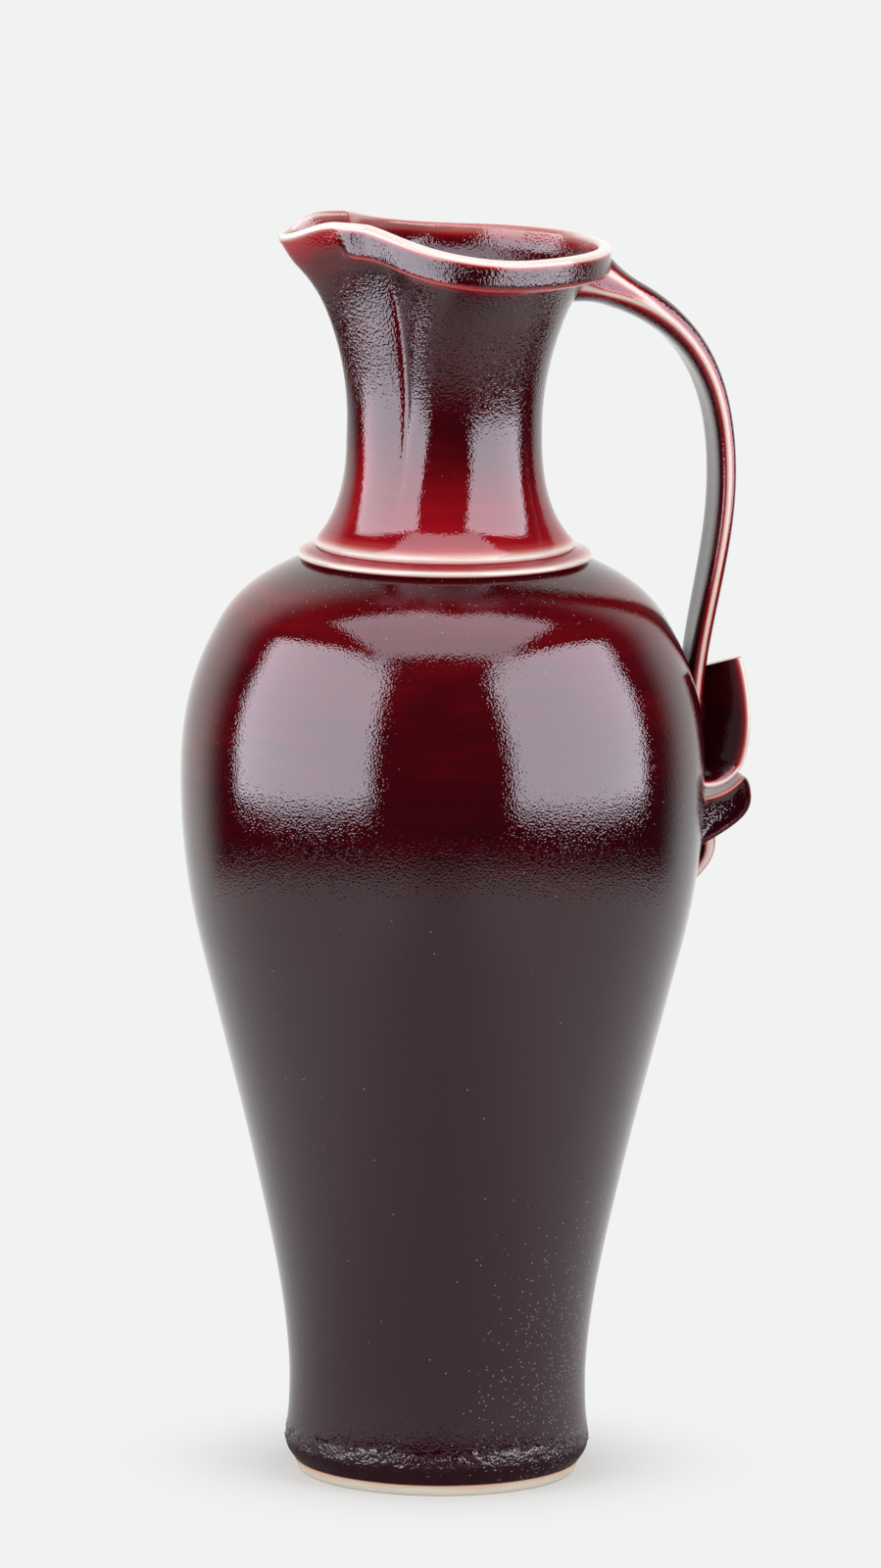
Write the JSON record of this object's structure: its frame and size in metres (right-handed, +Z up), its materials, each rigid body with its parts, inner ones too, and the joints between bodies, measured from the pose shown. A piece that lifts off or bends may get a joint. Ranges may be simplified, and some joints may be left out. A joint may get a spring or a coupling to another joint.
{
  "type": "ewer",
  "caption": "Porcelain ewer with a tall baluster body, ridged collar, flaring neck, pinched spout and strap handle that ends in a folded ribbon of clay.",
  "frame": {"origin": "centre of the foot, on the table", "axes": "+Z up the axis of the pot, +X from the axis to the handle, -X towards the spout"},
  "size_m": [0.1551, 0.142, 0.3438],
  "materials": {
    "red_glaze": "deep oxblood gloss that breaks to pale pink on the edges",
    "bare_clay": "bare fired clay, matt"
  },
  "bodies": {
    "root": {"foot_ring": "bare_clay", "body": "red_glaze", "shoulder_collar": "red_glaze", "neck": "red_glaze", "spout": "red_glaze", "handle_strap": "red_glaze", "ribbon_leaf": "red_glaze", "ribbon_fold": "red_glaze", "ribbon_tail": "red_glaze"}
  },
  "joints": []
}
